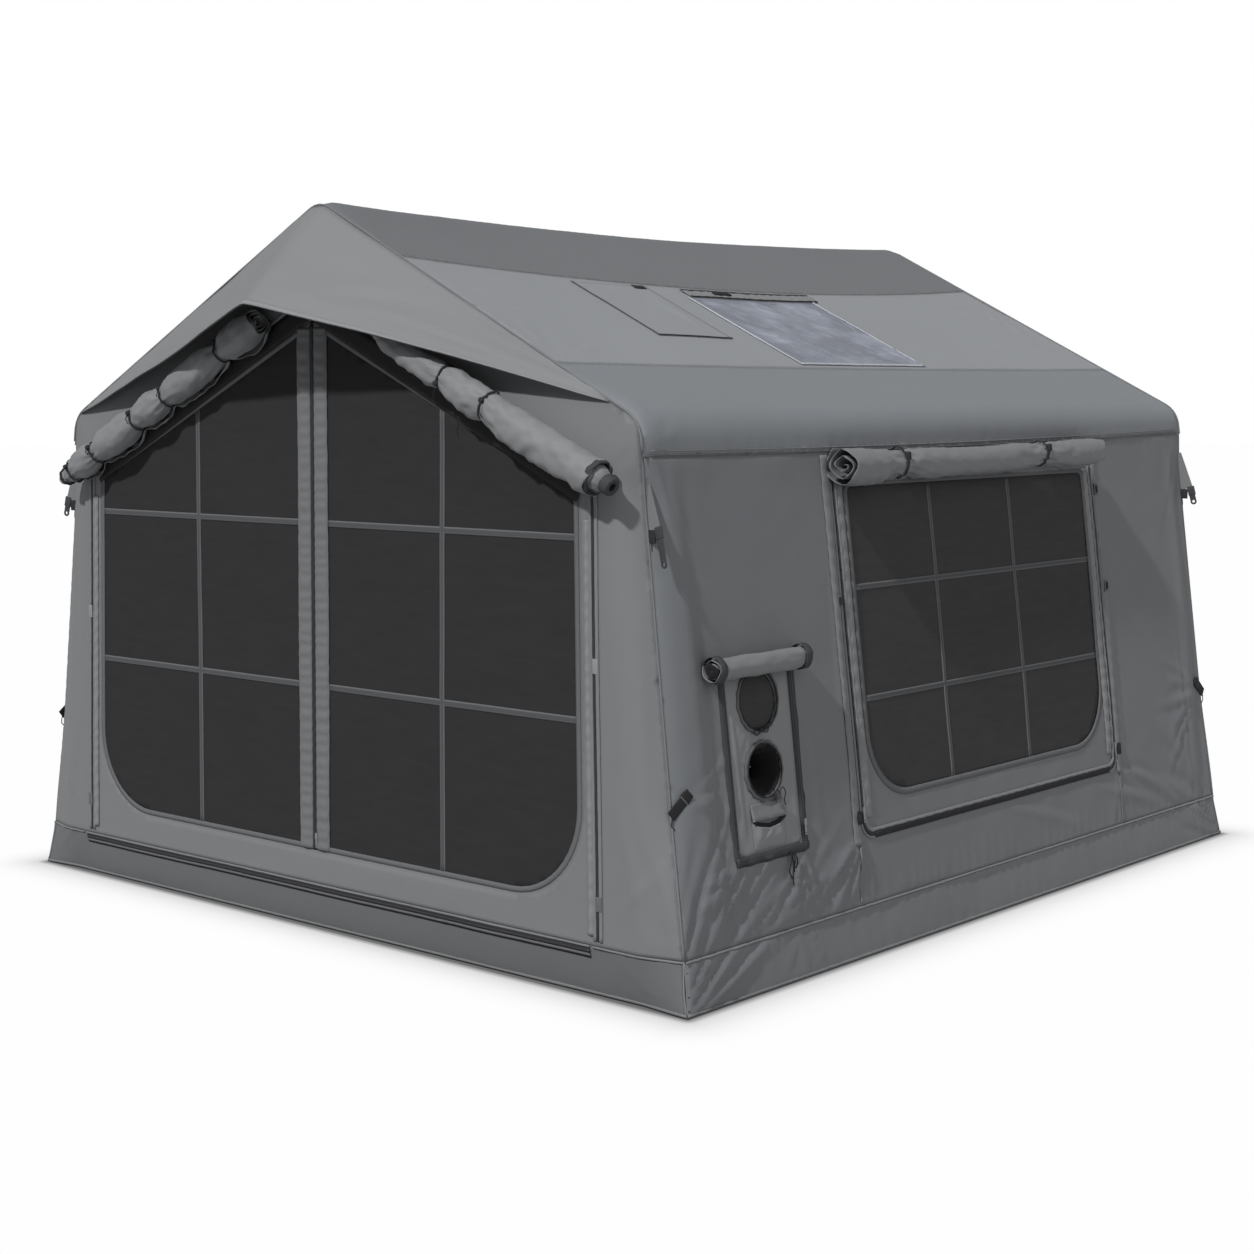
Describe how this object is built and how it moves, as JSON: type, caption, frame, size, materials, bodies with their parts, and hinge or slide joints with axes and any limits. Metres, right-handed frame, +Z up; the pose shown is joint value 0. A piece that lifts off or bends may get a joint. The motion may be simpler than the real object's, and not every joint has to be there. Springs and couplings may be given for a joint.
{
  "type": "inflatable tent",
  "caption": "Air-beam cabin tent with a mesh double door under a front hood, rolled covers, mesh side windows, a utility port, a roof window and a stove pipe flap.",
  "frame": {"origin": "middle of the ground sheet's underside, at ground level", "axes": "+X to the right across the front, -Y out of the front door, +Z up"},
  "size_m": [3, 3.4355, 2.2514],
  "materials": {
    "oxford_grey": "coated woven polyester, mid grey",
    "oxford_dark": "coated woven polyester, darker grey",
    "oxford_pale": "coated woven polyester, paler grey",
    "ground_cloth": "waterproof ground sheet",
    "beam_sleeve": "taut sleeve over an air bladder",
    "net_black": "fine insect mesh",
    "webbing_grey": "binding tape and webbing",
    "zip_black": "coil zip and tape",
    "clear_vinyl": "creased clear vinyl film",
    "heat_cloth": "heat resistant cloth",
    "zip_metal": "die-cast slider",
    "valve_plastic": "moulded valve plastic"
  },
  "bodies": {
    "tent": {"front_arch_beam": "beam_sleeve", "rear_arch_beam": "beam_sleeve", "ridge_beam": "beam_sleeve", "eave_beam_left": "beam_sleeve", "eave_beam_right": "beam_sleeve", "inflation_valve": "valve_plastic", "groundsheet": "ground_cloth", "skirt_front": "oxford_dark", "skirt_rear": "oxford_dark", "skirt_left": "oxford_dark", "skirt_right": "oxford_dark", "front_wall": "oxford_grey", "rear_wall": "oxford_grey", "left_wall": "oxford_grey", "right_wall": "oxford_grey", "roof_ridge": "oxford_dark", "roof_mid_left": "oxford_pale", "roof_mid_right": "oxford_pale", "roof_eave_left": "oxford_dark", "roof_eave_right": "oxford_dark", "skylight": "clear_vinyl", "skylight_zip": "zip_black", "stove_patch": "heat_cloth", "hood": "oxford_grey", "door_side_zip_left": "zip_black", "door_side_zip_right": "zip_black", "door_bottom_zip": "zip_black", "door_roll_left": "oxford_grey", "door_roll_right": "oxford_grey", "window_mesh_left": "net_black", "window_mesh_right": "net_black", "window_bars_left": "webbing_grey", "window_bars_right": "webbing_grey", "window_zip_left": "zip_black", "window_zip_right": "zip_black", "window_roll_left": "oxford_grey", "window_roll_right": "oxford_grey", "port_panel": "oxford_pale", "port_mesh": "net_black", "port_mesh_ring": "oxford_grey", "port_cuff": "oxford_grey", "port_zip": "zip_black", "port_pocket": "oxford_grey", "port_roll": "oxford_grey", "guy_point_front_left": "oxford_pale", "guy_point_front_right": "oxford_pale", "guy_point_rear_left": "oxford_pale", "guy_point_rear_right": "oxford_pale"},
    "door_leaf_left": {"door_mesh_left": "net_black", "door_bars_left": "webbing_grey"},
    "door_leaf_right": {"door_mesh_right": "net_black", "door_bars_right": "webbing_grey"},
    "door_slider": {"door_zip_slider": "zip_metal"},
    "window_slider_lf": {"window_slider_left_front": "zip_metal"},
    "window_slider_lr": {"window_slider_left_rear": "zip_metal"},
    "window_slider_rf": {"window_slider_right_front": "zip_metal"},
    "window_slider_rr": {"window_slider_right_rear": "zip_metal"},
    "port_zip_slider": {"port_slider": "zip_metal"},
    "stove_rain_flap": {"stove_flap": "oxford_pale"},
    "valve_lid": {"valve_cap": "valve_plastic"}
  },
  "joints": [
    {"name": "door_left_swing", "type": "hinge", "parent": "tent", "child": "door_leaf_left", "pos_m": [-1.13417, -1.59727, 0.255], "axis": [0.0228, 0.0166, 0.9996], "range_deg": [0, 50]},
    {"name": "door_right_swing", "type": "hinge", "parent": "tent", "child": "door_leaf_right", "pos_m": [1.13417, -1.59727, 0.255], "axis": [0.0228, -0.0166, -0.9996], "range_deg": [0, 50]},
    {"name": "door_slider_travel", "type": "slide", "parent": "door_leaf_right", "child": "door_slider", "axis": [0, 0.0166, 0.9999], "range_m": [0, 1.5]},
    {"name": "window_slider_lf_travel", "type": "slide", "parent": "tent", "child": "window_slider_lf", "axis": [0.1193, 0, 0.9929], "range_m": [0, 0.86]},
    {"name": "window_slider_lr_travel", "type": "slide", "parent": "tent", "child": "window_slider_lr", "axis": [0.1193, 0, 0.9929], "range_m": [0, 0.86]},
    {"name": "window_slider_rf_travel", "type": "slide", "parent": "tent", "child": "window_slider_rf", "axis": [-0.1193, 0, 0.9929], "range_m": [0, 0.86]},
    {"name": "window_slider_rr_travel", "type": "slide", "parent": "tent", "child": "window_slider_rr", "axis": [-0.1193, 0, 0.9929], "range_m": [0, 0.86]},
    {"name": "port_slider_travel", "type": "slide", "parent": "tent", "child": "port_zip_slider", "axis": [-0.1193, 0, 0.9929], "range_m": [0, 0.38]},
    {"name": "stove_flap_lift", "type": "hinge", "parent": "tent", "child": "stove_rain_flap", "pos_m": [0.43172, -0.875, 2.02881], "axis": [0, -0.9999, 0.0141], "range_deg": [0, 150]},
    {"name": "valve_lid_swing", "type": "hinge", "parent": "tent", "child": "valve_lid", "pos_m": [1.22776, -1.44, 0.49], "axis": [0, 1, 0], "range_deg": [0, 120]}
  ]
}
